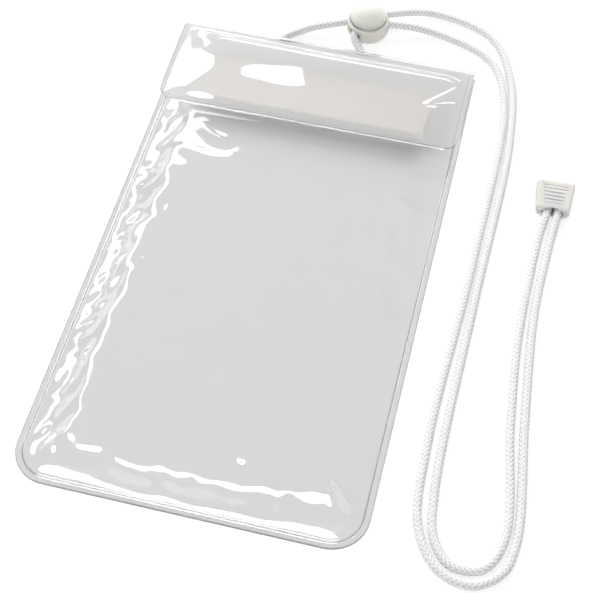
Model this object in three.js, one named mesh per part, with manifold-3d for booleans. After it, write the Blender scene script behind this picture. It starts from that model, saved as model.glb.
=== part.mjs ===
// Waterproof phone pouch of clear soft film, lying on its back, with its lanyard beside it.
// Millimetres. X runs across the pouch, Y from its bottom edge to the fold, Z up from the table.
import * as THREE from "three";
import { mergeVertices } from "three/addons/utils/BufferGeometryUtils.js";
import Module from "manifold-3d";

const wasm = await Module();
wasm.setup();

// Pouch
const pouchWidth = 135;
const pouchLength = 237;
const film = 0.4;
const weldWidth = 3.6;
const cornerRadius = 14.5;
const weldGap = 0.05;

// Pocket, as the film stands over what it holds
const pocketHeight = 9;
const pocketSlope = 15.9;
const pocketEnd = 34;
const valleyHeight = 6.6;
const valleyY = 62;

// Flap, folded forward over the mouth
const flapLength = 49;
const flapRadius = 9.5;
const flapEdgeHeight = 8.2;
const foldRadius = 2.6;
const liningSetback = 3.4;
const liningInset = 0.6;

// Hook-and-loop tapes under the flap
const tapeInset = 16.5;
const tapeSetback = 7.2;
const tapeZipGap = 2.9;
const tapeEndMargin = 0.6;
const tapeSideMargin = 2;
const hookThickness = 1;
const loopThickness = 0.9;

// Press-to-close zip inside the mouth
const zipInset = 9.5;
const zipSideMargin = 1;
const zipSetback = 11.9;
const zipStripWidth = 8;
const zipStrip = 0.4;
const zipPitch = 4;
const zipDepth = 1.5;
const lipHeight = 1.3;
const lipWall = 0.35;
const lipHook = 0.3;
const lipInner = 0.775;
const lipMouth = 0.5;
const ribStem = 0.25;
const ribHead = 0.62;
const ribTip = 0.15;
const ribTipGap = 0.15;
const ribHeadHeight = 0.7;
const mouthLip = 5.8;

// Lanyard cord
const cordDiameter = 3.7;
const cordClearance = 0.3;
const cordSides = 8;
const cordStepsPerSpan = 2;

// Film loop on the pouch's back, which the cord runs through
const loopFilm = 0.5;
const loopWidth = 24;
const loopSetback = 11.3;
const loopBottom = 6.4;
const loopFlank = 1.8;
const loopPad = 3.2;
const liftMargin = 1;
const liftRun = 28;

// Cord lock: a cup, and a sprung button in it
const lockCentre = [13.4, 140.3];
const lockAngle = 34;
const lockRadius = 9.7;
const lockRimHeight = 8.4;
const lockFootRadius = 3.2;
const lockRimRound = 1.1;
const lockFloor = 0.8;
const lockCordSpread = 4.6;
const buttonRadius = 8.1;
const buttonGap = 0.3;
const buttonTravel = 1.3;
const buttonWeb = 0.65;
const buttonEdgeHeight = 11.2;
const buttonDome = 1.5;
const buttonRound = 1.8;
const buttonChamfer = 0.4;
const springWire = 0.3;
const springTurns = 3;
const springFootRadius = 6;
const springHeadRadius = 3;
const lockSegments = 56;

// Cord-end clip: two tapered shells closed over both ends of the cord
const clipCentre = [111.2, 59.4];
const clipAngle = 2;
const clipLength = 16.2;
const clipNearWidth = 13.9;
const clipFarWidth = 16.5;
const clipHeight = 5.8;
const clipCorner = 2.2;
const clipBevel = 1.1;
const clipParting = 0.1;
const clipCordSpacing = 4.6;
const clipGrip = 9.7;
const clipFrame = 3.1;
const clipRecess = 0.35;
const clipRibs = 5;
const clipRibWidth = 1.1;
const clipRibHeight = 0.3;
const clipNotchRadius = 4.2;
const clipNotchDepth = 1.1;
const clipLip = 1.2;
const clipLipWidth = 10.6;
const clipPeg = 0.9;
const clipPegHeight = 1.5;
const clipPegInset = 3;
const pegClearance = 0.2;

// Places that follow from the sizes
const bottomY = -pouchLength / 2;
const foldY = pouchLength / 2;
const flapEndY = foldY - flapLength;
const cordRadius = cordDiameter / 2;
const liftHeight = loopFilm + cordDiameter + 2 * cordClearance;
const loopY = foldY - loopSetback;
const liftEndY = loopY - loopBottom / 2 - loopFlank - loopPad - liftMargin;
const liftStartY = liftEndY - liftRun;
const rootY = foldY - foldRadius;
const flapRootHeight = liftHeight + 2 * foldRadius - film;
const pocketHalf = pouchWidth / 2 - weldWidth - pocketSlope;
const zipY = foldY - zipSetback;
const zipLength = pouchWidth - 2 * zipInset;
const zipStartY = zipY - zipStripWidth / 2;
const zipEndY = zipY + zipStripWidth / 2;
const tapeLength = pouchWidth - 2 * tapeInset;
const tapeStartY = flapEndY + tapeSetback;
const tapeEndY = zipStartY - tapeZipGap;
const tapeSeatStartY = tapeStartY - tapeEndMargin;
const tapeSeatEndY = tapeEndY + tapeEndMargin;
const mouthY = zipEndY + mouthLip;
const zipHeight = 2 * zipStrip + zipDepth;
const zipStackHeight = zipHeight + 2 * weldGap;
const cordInLock = lockFloor + buttonTravel + springWire + buttonWeb + cordClearance + cordRadius;
const slotHalf = lockCordSpread + cordRadius + cordClearance;
const slotBottom = cordInLock - cordRadius - cordClearance;
const slotTop = cordInLock + cordRadius + cordClearance;
const buttonBottom = slotBottom - buttonWeb;
const clipMiddle = clipHeight / 2;

// Surfaces of the films, as heights above the table

function smooth(t) {
  const c = Math.min(1, Math.max(0, t));
  return c * c * (3 - 2 * c);
}

function backUnderside(y) {
  return liftHeight * smooth((y - liftStartY) / (liftEndY - liftStartY));
}

function flapUnderside(y) {
  const share = (y - flapEndY) / (rootY - flapEndY);
  return flapEdgeHeight + (flapRootHeight - flapEdgeHeight) * share;
}

function tapeSeat(y) {
  return flapUnderside(y) - film - hookThickness - loopThickness - 4 * weldGap;
}

// Middle line of the front film's underside: over the pocket, down to a valley, up to the tape, up to the zip
function frontMiddle(y) {
  const overPocket = film + pocketHeight;
  const atZip = liftHeight + film + zipStackHeight;
  const knots = [
    [pocketEnd, overPocket],
    [valleyY, film + valleyHeight],
    [tapeSeatStartY, tapeSeat(tapeSeatStartY) - film],
    [tapeSeatEndY, tapeSeat(tapeSeatEndY) - film],
    [zipStartY, atZip],
  ];
  if (y <= knots[0][0]) return overPocket;
  for (let k = 1; k < knots.length; k += 1) {
    const [y0, z0] = knots[k - 1];
    const [y1, z1] = knots[k];
    if (y > y1) continue;
    const share = (y - y0) / (y1 - y0);
    const onTape = k === 3;
    return z0 + (z1 - z0) * (onTape ? share : smooth(share));
  }
  return atZip;
}

// Width of the slope between the side weld and the level part of the front film
function sideSlope(y) {
  const atTape = tapeInset - tapeSideMargin - weldWidth;
  const atZip = zipInset - zipSideMargin - weldWidth;
  const toTape = smooth((y - valleyY) / (tapeSeatStartY - valleyY));
  const toZip = smooth((y - tapeSeatEndY) / (zipStartY - tapeSeatEndY));
  return pocketSlope + (atTape - pocketSlope) * toTape + (atZip - atTape) * toZip;
}

// Distance inside the pouch's outline, which is rounded at the two bottom corners
function inset(x, y) {
  const cornerX = pouchWidth / 2 - cornerRadius;
  const cornerY = bottomY + cornerRadius;
  if (Math.abs(x) > cornerX && y < cornerY) {
    return cornerRadius - Math.hypot(Math.abs(x) - cornerX, y - cornerY);
  }
  return Math.min(pouchWidth / 2 - Math.abs(x), y - bottomY);
}

function frontUnderside(x, y) {
  const low = backUnderside(y) + film + weldGap;
  const share = smooth((inset(x, y) - weldWidth) / sideSlope(y));
  return low + (frontMiddle(y) - low) * share;
}

// Geometry helpers

function toSolid(geometry) {
  const bare = geometry.clone();
  bare.deleteAttribute("normal");
  bare.deleteAttribute("uv");
  const merged = mergeVertices(bare, 1e-4);
  const triVerts = new Uint32Array(merged.index.array);
  const vertProperties = new Float32Array(merged.attributes.position.array);
  return new wasm.Manifold(new wasm.Mesh({ numProp: 3, vertProperties, triVerts }));
}

function toGeometry(solid) {
  const mesh = solid.getMesh();
  const geometry = new THREE.BufferGeometry();
  geometry.setAttribute("position", new THREE.BufferAttribute(mesh.vertProperties, 3));
  geometry.setIndex(new THREE.BufferAttribute(mesh.triVerts, 1));
  geometry.computeVertexNormals();
  return geometry;
}

// An outline of (y, z) points, extruded along X and centred on it
function extrudeAcross(outline, width) {
  const shape = new THREE.Shape(outline.map(([y, z]) => new THREE.Vector2(y, z)));
  const geometry = new THREE.ExtrudeGeometry(shape, { depth: width, bevelEnabled: false });
  const turn = new THREE.Matrix4().makeBasis(
    new THREE.Vector3(0, 1, 0),
    new THREE.Vector3(0, 0, 1),
    new THREE.Vector3(1, 0, 0),
  );
  return geometry.applyMatrix4(turn).translate(-width / 2, 0, 0);
}

// An outline of (x, y) points, extruded upwards between two heights
function extrudeUp(shape, low, high, curveSegments = 12) {
  const options = { depth: high - low, bevelEnabled: false, curveSegments };
  return new THREE.ExtrudeGeometry(shape, options).translate(0, 0, low);
}

// A film of one thickness, along a middle line of (y, z) points
function filmOutline(middle, thickness) {
  const sides = [[], []];
  middle.forEach(([y, z], k) => {
    const [yBefore, zBefore] = middle[Math.max(0, k - 1)];
    const [yAfter, zAfter] = middle[Math.min(middle.length - 1, k + 1)];
    const length = Math.hypot(yAfter - yBefore, zAfter - zBefore);
    const across = [-(zAfter - zBefore) / length, (yAfter - yBefore) / length];
    sides[0].push([y + (across[0] * thickness) / 2, z + (across[1] * thickness) / 2]);
    sides[1].push([y - (across[0] * thickness) / 2, z - (across[1] * thickness) / 2]);
  });
  return [...sides[1], ...sides[0].reverse()];
}

// What lies outside a rounded corner, at the lower end of a film of half width x, between two heights
function cornerWaste(x, y, radius, low, high) {
  const over = 1;
  const shape = new THREE.Shape();
  shape.moveTo(x + over, y - over);
  shape.lineTo(x + over, y + radius);
  shape.lineTo(x, y + radius);
  shape.absarc(x - radius, y + radius, radius, 0, -Math.PI / 2, true);
  shape.lineTo(x - radius, y - over);
  shape.closePath();
  return toSolid(extrudeUp(shape, low, high, 10));
}

function roundLowerCorners(solid, halfWidth, y, radius, low, high) {
  const right = cornerWaste(halfWidth, y, radius, low, high);
  return solid.subtract(right).subtract(right.mirror([1, 0, 0]));
}

// A film laid over a surface: rows of points along X, a top skin, an underside and a rim
function laidFilm(rows, underside, thickness) {
  const columns = rows[0].xs.length;
  const positions = [];
  for (const lift of [0, thickness]) {
    for (const { y, xs } of rows) {
      for (const x of xs) positions.push(x, y, underside(x, y) + lift);
    }
  }
  const top = rows.length * columns;
  const index = [];
  const quad = (a, b, c, d) => index.push(a, b, c, a, c, d);
  for (let r = 0; r + 1 < rows.length; r += 1) {
    for (let c = 0; c + 1 < columns; c += 1) {
      const a = r * columns + c;
      quad(top + a, top + a + 1, top + a + columns + 1, top + a + columns);
      quad(a, a + columns, a + columns + 1, a + 1);
    }
    const left = r * columns;
    const right = left + columns - 1;
    quad(left, top + left, top + left + columns, left + columns);
    quad(right, right + columns, top + right + columns, top + right);
  }
  const last = (rows.length - 1) * columns;
  for (let c = 0; c + 1 < columns; c += 1) {
    quad(c, c + 1, top + c + 1, top + c);
    quad(last + c, top + last + c, top + last + c + 1, last + c + 1);
  }
  const geometry = new THREE.BufferGeometry();
  geometry.setAttribute("position", new THREE.Float32BufferAttribute(positions, 3));
  geometry.setIndex(index);
  geometry.computeVertexNormals();
  return geometry;
}

function spaced(from, to, count) {
  return Array.from({ length: count + 1 }, (_, k) => from + ((to - from) * k) / count);
}

// The heights at which the back film bends, which the front film's rows share
const liftStations = spaced(liftStartY, liftEndY, 12);

// Pouch films

function backPanel() {
  const half = film / 2;
  const middle = [[bottomY, half]];
  for (const y of liftStations) middle.push([y, backUnderside(y) + half]);
  const bend = foldRadius - half;
  for (const angle of spaced(-90, 90, 12)) {
    const turn = THREE.MathUtils.degToRad(angle);
    middle.push([rootY + bend * Math.cos(turn), liftHeight + foldRadius + bend * Math.sin(turn)]);
  }
  middle.push([flapEndY, flapUnderside(flapEndY) + half]);
  const sheet = toSolid(extrudeAcross(filmOutline(middle, film), pouchWidth));
  const rounded = roundLowerCorners(sheet, pouchWidth / 2, bottomY, cornerRadius, -1, film + 1);
  return toGeometry(roundLowerCorners(rounded, pouchWidth / 2, flapEndY, flapRadius, flapEdgeHeight - 1, flapRootHeight + 1));
}

function frontPanel() {
  const cornerRows = spaced(0, 90, 9).map((angle) => {
    const turn = THREE.MathUtils.degToRad(angle);
    return {
      y: bottomY + cornerRadius * (1 - Math.cos(turn)),
      half: pouchWidth / 2 - cornerRadius * (1 - Math.sin(turn)),
    };
  });
  const cornerTop = bottomY + cornerRadius;
  const stations = [
    bottomY + weldWidth,
    ...spaced(cornerTop, cornerTop + 6, 2).slice(1),
    ...spaced(cornerTop + 12, pocketEnd, 5),
    ...spaced(pocketEnd, valleyY, 8).slice(1),
    ...spaced(valleyY, tapeSeatStartY, 4).slice(1),
    ...spaced(tapeSeatEndY, zipStartY, 4),
    mouthY,
    ...liftStations,
  ];
  const straightRows = stations.map((y) => {
    const rise = cornerTop - y;
    const half = rise > 0 ? pouchWidth / 2 - cornerRadius + Math.sqrt(cornerRadius ** 2 - rise ** 2) : pouchWidth / 2;
    return { y, half };
  });
  const sorted = [...cornerRows, ...straightRows].sort((a, b) => a.y - b.y);
  const kept = sorted.filter((row, k) => k === 0 || row.y - sorted[k - 1].y > 0.2);
  const slopes = spaced(0, pocketSlope, 7).map((d) => weldWidth + d);
  const insets = [0, weldWidth / 2, ...slopes];
  const rows = kept.map(({ y, half }) => {
    const inner = half - insets[insets.length - 1];
    const left = insets.map((d) => d - half);
    const middle = spaced(-inner, inner, 5).slice(1, -1);
    return { y, xs: [...left, ...middle, ...left.map((x) => -x).reverse()] };
  });
  return laidFilm(rows, frontUnderside, film);
}

function flapLining() {
  const low = (y) => flapUnderside(y) - weldGap - film;
  const startY = flapEndY + liningInset;
  const endY = foldY - liningSetback;
  const outline = [[startY, low(startY)], [endY, low(endY)], [endY, low(endY) + film], [startY, low(startY) + film]];
  const half = pouchWidth / 2 - liningInset;
  const sheet = toSolid(extrudeAcross(outline, 2 * half));
  const radius = flapRadius - liningInset;
  return toGeometry(roundLowerCorners(sheet, half, startY, radius, low(startY) - 1, low(endY) + 2));
}

function tape(lowAt, thickness) {
  const [a, b] = [tapeStartY, tapeEndY];
  const outline = [[a, lowAt(a)], [b, lowAt(b)], [b, lowAt(b) + thickness], [a, lowAt(a) + thickness]];
  return extrudeAcross(outline, tapeLength);
}

function loopTape() {
  return tape((y) => tapeSeat(y) + weldGap, loopThickness);
}

function hookTape() {
  return tape((y) => tapeSeat(y) + 2 * weldGap + loopThickness, hookThickness);
}

// Press-to-close zip: two grooves with hooked lips, and two arrow-headed ribs held in them

const zipCentres = [zipY - zipPitch / 2, zipY + zipPitch / 2];
const zipBase = liftHeight + film + weldGap;

function zipTrackBack() {
  const floor = zipBase + zipStrip;
  const lipOuter = lipInner + lipWall;
  const outline = [[zipEndY, zipBase], [zipEndY, floor]];
  const lip = (centre, side) => [
    [centre + side * lipOuter, floor],
    [centre + side * lipOuter, floor + lipHeight],
    [centre + side * lipMouth, floor + lipHeight],
    [centre + side * lipMouth, floor + lipHeight - lipHook],
    [centre + side * lipInner, floor + lipHeight - lipHook],
    [centre + side * lipInner, floor],
  ];
  for (const centre of [...zipCentres].reverse()) {
    outline.push(...lip(centre, 1), ...lip(centre, -1).reverse());
  }
  outline.push([zipStartY, floor], [zipStartY, zipBase]);
  return extrudeAcross(outline, zipLength);
}

function zipTrackFront() {
  const floor = zipBase + zipStrip;
  const under = floor + zipDepth;
  const tip = floor + ribTipGap;
  const shoulder = tip + ribHeadHeight;
  const barb = tip + ribHeadHeight / 2;
  const outline = [[zipStartY, under + zipStrip], [zipStartY, under]];
  const rib = (centre, side) => [
    [centre + side * ribStem, under],
    [centre + side * ribStem, shoulder],
    [centre + side * ribHead, shoulder],
    [centre + side * ribHead, barb],
    [centre + side * ribTip, tip],
  ];
  for (const centre of zipCentres) {
    outline.push(...rib(centre, -1), ...rib(centre, 1).reverse());
  }
  outline.push([zipEndY, under], [zipEndY, under + zipStrip]);
  return extrudeAcross(outline, zipLength);
}

// Film loop welded to the back, level with the fold
function cordLoop() {
  const pad = liftHeight - weldGap - loopFilm / 2;
  const low = loopFilm / 2;
  const half = loopBottom / 2;
  const right = [[half, low], [half + loopFlank, pad], [half + loopFlank + loopPad, pad]];
  const left = right.map(([y, z]) => [-y, z]).reverse();
  const middle = [...left, ...right].map(([y, z]) => [loopY + y, z]);
  return extrudeAcross(filmOutline(middle, loopFilm), loopWidth);
}

// Cord: from the clip past the pouch's corner to the cord lock, behind the fold through the loop,
// back through the cord lock and round again to the clip. Each point is (x, y), or (x, y, z) off the table.
const cordRoute = [
  [108.9, 60.3, 2.9],
  [109.2, 51.3, 2.9],
  [107.9, 38],
  [107.2, -13],
  [110.2, -53],
  [115.5, -101],
  [109.5, -113.6],
  [98.5, -114.6],
  [91, -106.3],
  [87.8, -88],
  [87.7, 0],
  [88.3, 86],
  [82.4, 125.4],
  [69.2, 149],
  [41.3, 157.6],
  [20.2, 148.1, 5.2],
  [11.2, 143.6, 5.2],
  [2.5, 138.5, 5.2],
  [-12.6, 133.9, 2.2],
  [-24.2, 123.1],
  [-26.5, 111.9],
  [-14, 107.2, 2.65],
  [12.5, 107.3, 2.65],
  [20.6, 114.8],
  [13.4, 124.3, 3],
  [8.9, 131.7, 5.2],
  [14.1, 137.1, 5.2],
  [24.1, 142.2, 5.2],
  [43.8, 145.3],
  [71.3, 134.1],
  [82, 109.5],
  [83.8, 20],
  [81.5, -68],
  [84.5, -103],
  [94, -117.2],
  [106.5, -120.5],
  [116.5, -113.8],
  [119.9, -100],
  [115.3, -49.8],
  [111.7, 0],
  [112.9, 38],
  [113.75, 51.3, 2.9],
  [113.6, 60.4, 2.9],
];

// The cord's steps are shared out evenly between its points, so that its bends get the short ones
class CordPath extends THREE.CatmullRomCurve3 {
  getPointAt(share, target) {
    return this.getPoint(share, target);
  }

  getTangentAt(share, target) {
    return this.getTangent(share, target);
  }
}

function tubeSection(radius, sides) {
  const shape = new THREE.Shape();
  for (let k = 0; k < sides; k += 1) {
    const angle = (2 * Math.PI * (k + 0.5)) / sides;
    const [x, y] = [radius * Math.cos(angle), radius * Math.sin(angle)];
    if (k === 0) shape.moveTo(x, y);
    else shape.lineTo(x, y);
  }
  shape.closePath();
  return shape;
}

function lanyardCord() {
  const points = cordRoute.map(([x, y, z = cordRadius]) => new THREE.Vector3(x, y, z));
  const extrudePath = new CordPath(points, false, "centripetal");
  const steps = cordStepsPerSpan * (points.length - 1);
  return new THREE.ExtrudeGeometry(tubeSection(cordRadius, cordSides), { steps, extrudePath });
}

// Cord lock

function revolve(profile, segments) {
  const points = profile.map(([r, z]) => new THREE.Vector2(r, z));
  const geometry = new THREE.LatheGeometry(points, segments);
  return geometry.rotateX(Math.PI / 2);
}

function arc(centreR, centreZ, radius, from, to, count) {
  return spaced(from, to, count).map((angle) => {
    const turn = THREE.MathUtils.degToRad(angle);
    return [centreR + radius * Math.cos(turn), centreZ + radius * Math.sin(turn)];
  });
}

// The wide oval passage for both strands, between two heights, along the lock's own angle
function cordPassage(low, high) {
  const radius = (high - low) / 2;
  const middle = (high + low) / 2;
  const shape = new THREE.Shape();
  shape.absarc(slotHalf - radius, middle, radius, -Math.PI / 2, Math.PI / 2, false);
  shape.absarc(radius - slotHalf, middle, radius, Math.PI / 2, (3 * Math.PI) / 2, false);
  const length = 3 * lockRadius;
  const geometry = new THREE.ExtrudeGeometry(shape, { depth: length, bevelEnabled: false, curveSegments: 8 });
  const turn = new THREE.Matrix4().makeBasis(
    new THREE.Vector3(0, 1, 0),
    new THREE.Vector3(0, 0, 1),
    new THREE.Vector3(1, 0, 0),
  );
  geometry.translate(0, 0, -length / 2).applyMatrix4(turn);
  return toSolid(geometry.rotateZ(THREE.MathUtils.degToRad(lockAngle)));
}

function lockBody() {
  const boreRadius = buttonRadius + buttonGap;
  const profile = [
    [0, 0],
    ...arc(lockRadius - lockFootRadius, lockFootRadius, lockFootRadius, -90, 0, 6),
    ...arc(lockRadius - lockRimRound, lockRimHeight - lockRimRound, lockRimRound, 0, 90, 3),
    [boreRadius, lockRimHeight],
    [boreRadius, lockFloor],
    [0, lockFloor],
  ];
  const cup = toSolid(revolve(profile, lockSegments));
  return toGeometry(cup.subtract(cordPassage(slotBottom, slotTop)));
}

function lockButton() {
  const edgeZ = buttonEdgeHeight - buttonRound;
  const flat = buttonRadius - buttonRound;
  const dome = (flat ** 2 + buttonDome ** 2) / (2 * buttonDome);
  const domeAngle = THREE.MathUtils.radToDeg(Math.asin(flat / dome));
  const profile = [
    [0, buttonBottom],
    [buttonRadius - buttonChamfer, buttonBottom],
    [buttonRadius, buttonBottom + buttonChamfer],
    ...arc(flat, edgeZ, buttonRound, 0, 90 - domeAngle, 4),
    ...arc(0, buttonEdgeHeight + buttonDome - dome, dome, 90 - domeAngle, 90, 6).slice(1, -1),
    [0, buttonEdgeHeight + buttonDome],
  ];
  const piston = toSolid(revolve(profile, lockSegments));
  return toGeometry(piston.subtract(cordPassage(slotBottom, slotTop + buttonTravel)));
}

// A conical spring, whose turns lie inside each other when the button is pressed
class SpringPath extends THREE.Curve {
  getPoint(t, target = new THREE.Vector3()) {
    const turn = 2 * Math.PI * springTurns * t;
    const radius = springFootRadius + (springHeadRadius - springFootRadius) * t;
    const low = lockFloor + springWire / 2;
    const high = buttonBottom - springWire / 2;
    return target.set(radius * Math.cos(turn), radius * Math.sin(turn), low + (high - low) * t);
  }
}

function lockSpring() {
  const options = { steps: 18 * springTurns, extrudePath: new SpringPath() };
  return new THREE.ExtrudeGeometry(tubeSection(springWire / 2, 6), options);
}

// Cord-end clip. Its own axes: u across, v from the end where the cords enter, origin at its middle

function roundedOutline(corners, radius) {
  const shape = new THREE.Shape();
  corners.forEach((corner, k) => {
    const before = corners[(k + corners.length - 1) % corners.length];
    const after = corners[(k + 1) % corners.length];
    const towards = ([x, y]) => {
      const length = Math.hypot(x - corner[0], y - corner[1]);
      return [corner[0] + ((x - corner[0]) * radius) / length, corner[1] + ((y - corner[1]) * radius) / length];
    };
    const [start, end] = [towards(before), towards(after)];
    if (k === 0) shape.moveTo(...start);
    else shape.lineTo(...start);
    shape.quadraticCurveTo(...corner, ...end);
  });
  shape.closePath();
  return shape;
}

function clipOutline(offset) {
  const [near, far] = [clipNearWidth / 2 - offset, clipFarWidth / 2 - offset];
  const half = clipLength / 2 - offset;
  const corners = [[-near, -half], [near, -half], [far, half], [-far, half]];
  return roundedOutline(corners, Math.max(0.4, clipCorner - offset));
}

function clipBlock(low, high) {
  const options = {
    depth: high - low - 2 * clipBevel,
    bevelThickness: clipBevel,
    bevelSize: clipBevel,
    bevelOffset: -clipBevel,
    bevelSegments: 3,
    curveSegments: 5,
  };
  return toSolid(new THREE.ExtrudeGeometry(clipOutline(0), options).translate(0, 0, low + clipBevel));
}

function slab(width, low, high) {
  const box = new THREE.BoxGeometry(width, width, high - low);
  return toSolid(box.translate(0, 0, (low + high) / 2));
}

// The room for both cord ends, closed at the far end
function clipChannel() {
  const radius = cordRadius + cordClearance;
  const shape = new THREE.Shape();
  shape.absarc(clipCordSpacing / 2, clipMiddle, radius, -Math.PI / 2, Math.PI / 2, false);
  shape.absarc(-clipCordSpacing / 2, clipMiddle, radius, Math.PI / 2, (3 * Math.PI) / 2, false);
  const length = clipGrip + 2 * clipLip;
  const geometry = new THREE.ExtrudeGeometry(shape, { depth: length, bevelEnabled: false, curveSegments: 8 });
  geometry.rotateX(Math.PI / 2).translate(0, clipGrip - clipLength / 2, 0);
  return toSolid(geometry);
}

function pegs(radius, height) {
  const places = [-1, 1].map((side) => [side * (clipFarWidth / 2 - clipPegInset), clipLength / 2 - clipPegInset]);
  const solids = places.map(([u, v]) => {
    const peg = new THREE.CylinderGeometry(radius, radius, height + clipMiddle / 2, 16);
    return toSolid(peg.rotateX(Math.PI / 2).translate(u, v, clipMiddle + (height - clipMiddle / 2) / 2));
  });
  return solids[0].add(solids[1]);
}

function clipBackShell() {
  const top = clipMiddle - clipParting / 2;
  const lipShape = roundedOutline(
    [
      [-clipLipWidth / 2, -clipLength / 2 - clipLip],
      [clipLipWidth / 2, -clipLength / 2 - clipLip],
      [clipLipWidth / 2, 0],
      [-clipLipWidth / 2, 0],
    ],
    clipCorner,
  );
  const lip = toSolid(extrudeUp(lipShape, clipBevel, top, 5));
  const block = clipBlock(0, clipHeight).add(lip).subtract(slab(3 * clipLength, top, clipHeight + 1));
  return toGeometry(block.subtract(clipChannel()).add(pegs(clipPeg, clipPegHeight)));
}

function clipFrontShell() {
  const bottom = clipMiddle + clipParting / 2;
  const block = clipBlock(0, clipHeight).subtract(slab(3 * clipLength, -1, bottom));
  const recess = toSolid(extrudeUp(clipOutline(clipFrame), clipHeight - clipRecess, clipHeight + 1, 5));
  const notchShape = new THREE.Shape();
  notchShape.absarc(0, clipNotchDepth - clipNotchRadius - clipLength / 2, clipNotchRadius, 0, 2 * Math.PI, false);
  const notch = toSolid(extrudeUp(notchShape, -1, clipHeight + 1, 20));
  const room = clipLength - 2 * clipFrame;
  const pitch = room / clipRibs;
  const ribs = spaced(0, clipRibs - 1, clipRibs - 1).map((k) => {
    const v = -room / 2 + (k + 0.5) * pitch;
    const widthThere = clipNearWidth + ((clipFarWidth - clipNearWidth) * (v + clipLength / 2)) / clipLength;
    const low = clipHeight - clipRecess - 0.2;
    const height = clipRibHeight + 0.2;
    const rib = new THREE.BoxGeometry(widthThere - 2 * clipFrame + 0.4, clipRibWidth, height);
    return toSolid(rib.translate(0, v, low + height / 2));
  });
  const face = ribs.reduce((shell, rib) => shell.add(rib), block.subtract(recess));
  const holes = pegs(clipPeg + pegClearance, clipPegHeight + pegClearance);
  return toGeometry(face.subtract(notch).subtract(clipChannel()).subtract(holes));
}

// Assembly

const clearFilm = { color: 0xe4e6e6, roughness: 0.08, metalness: 0, transparent: true, opacity: 0.35 };
const milkyTape = { color: 0xe6e2dc, roughness: 0.7, metalness: 0 };
const whiteCord = { color: 0xf6f6f4, roughness: 0.8, metalness: 0 };
const ivoryPlastic = { color: 0xe6e7da, roughness: 0.4, metalness: 0 };
const greyPlastic = { color: 0xe0dcd6, roughness: 0.45, metalness: 0 };
const springSteel = { color: 0xb8bbc0, roughness: 0.3, metalness: 1 };

function part(name, geometry, finish) {
  const mesh = new THREE.Mesh(geometry, new THREE.MeshStandardMaterial(finish));
  mesh.name = name;
  return mesh;
}

const pouch = new THREE.Group();
pouch.add(
  part("back_panel", backPanel(), clearFilm),
  part("front_panel", frontPanel(), clearFilm),
  part("flap_lining", flapLining(), clearFilm),
  part("loop_tape", loopTape(), milkyTape),
  part("hook_tape", hookTape(), milkyTape),
  part("zip_track_back", zipTrackBack(), clearFilm),
  part("zip_track_front", zipTrackFront(), clearFilm),
  part("cord_loop", cordLoop(), clearFilm),
);

const cordLock = new THREE.Group();
cordLock.position.set(...lockCentre, 0);
cordLock.add(
  part("lock_body", lockBody(), ivoryPlastic),
  part("lock_button", lockButton(), ivoryPlastic),
  part("lock_spring", lockSpring(), springSteel),
);

const clip = new THREE.Group();
clip.position.set(...clipCentre, 0);
clip.rotation.z = THREE.MathUtils.degToRad(clipAngle);
clip.add(
  part("clip_back_shell", clipBackShell(), greyPlastic),
  part("clip_front_shell", clipFrontShell(), greyPlastic),
);

const phonePouch = new THREE.Group();
phonePouch.add(pouch, part("lanyard_cord", lanyardCord(), whiteCord), cordLock, clip);

export default phonePouch;
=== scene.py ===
import math

import bpy
import numpy as np
from mathutils import Matrix, Vector


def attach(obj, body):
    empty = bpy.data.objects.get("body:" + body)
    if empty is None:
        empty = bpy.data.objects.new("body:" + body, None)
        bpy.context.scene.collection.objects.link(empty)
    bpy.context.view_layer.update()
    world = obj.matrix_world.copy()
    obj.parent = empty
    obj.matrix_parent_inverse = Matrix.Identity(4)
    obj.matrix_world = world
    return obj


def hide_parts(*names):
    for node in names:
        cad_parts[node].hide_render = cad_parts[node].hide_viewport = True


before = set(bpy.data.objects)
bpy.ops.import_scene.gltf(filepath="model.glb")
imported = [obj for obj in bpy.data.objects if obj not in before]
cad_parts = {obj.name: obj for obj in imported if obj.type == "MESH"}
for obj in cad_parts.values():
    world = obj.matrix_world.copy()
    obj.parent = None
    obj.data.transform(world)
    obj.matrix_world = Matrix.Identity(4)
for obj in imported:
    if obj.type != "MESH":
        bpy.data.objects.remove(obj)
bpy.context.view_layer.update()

MM = 0.001

# Camera, fitted to the pouch's outline in the photo. Its angles are in degrees

SENSOR_WIDTH, CLIP_START = 36, 0.01
FOCAL_PIXELS, PHOTO_PIXELS = 1388.05, 593
CAMERA_MM = (93.046, -326.807, 456.348)
CAMERA_YAW, CAMERA_PITCH, CAMERA_ROLL = 13.558, 54.809, 0.430

camera = bpy.data.objects.new("camera", bpy.data.cameras.new("camera"))
bpy.context.scene.collection.objects.link(camera)
camera.data.sensor_width = SENSOR_WIDTH
camera.data.lens = SENSOR_WIDTH * (FOCAL_PIXELS / PHOTO_PIXELS)
camera.data.clip_start = CLIP_START
camera.matrix_world = (
    Matrix.Translation(Vector(CAMERA_MM) * MM)
    @ Matrix.Rotation(math.radians(CAMERA_YAW), 4, "Z")
    @ Matrix.Rotation(math.radians(90 - CAMERA_PITCH), 4, "X")
    @ Matrix.Rotation(math.radians(CAMERA_ROLL), 4, "Z")
)
bpy.context.scene.camera = camera
bpy.context.scene.view_settings.view_transform = "Standard"


# Helpers for meshes

def add_object(name, mesh, material, body="pouch"):
    """Puts a mesh in the scene, with the material and body that are given."""
    obj = bpy.data.objects.new(name, mesh)
    bpy.context.scene.collection.objects.link(obj)
    if material:
        mesh.materials.append(material)
    if body:
        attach(obj, body)
    return obj


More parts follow.
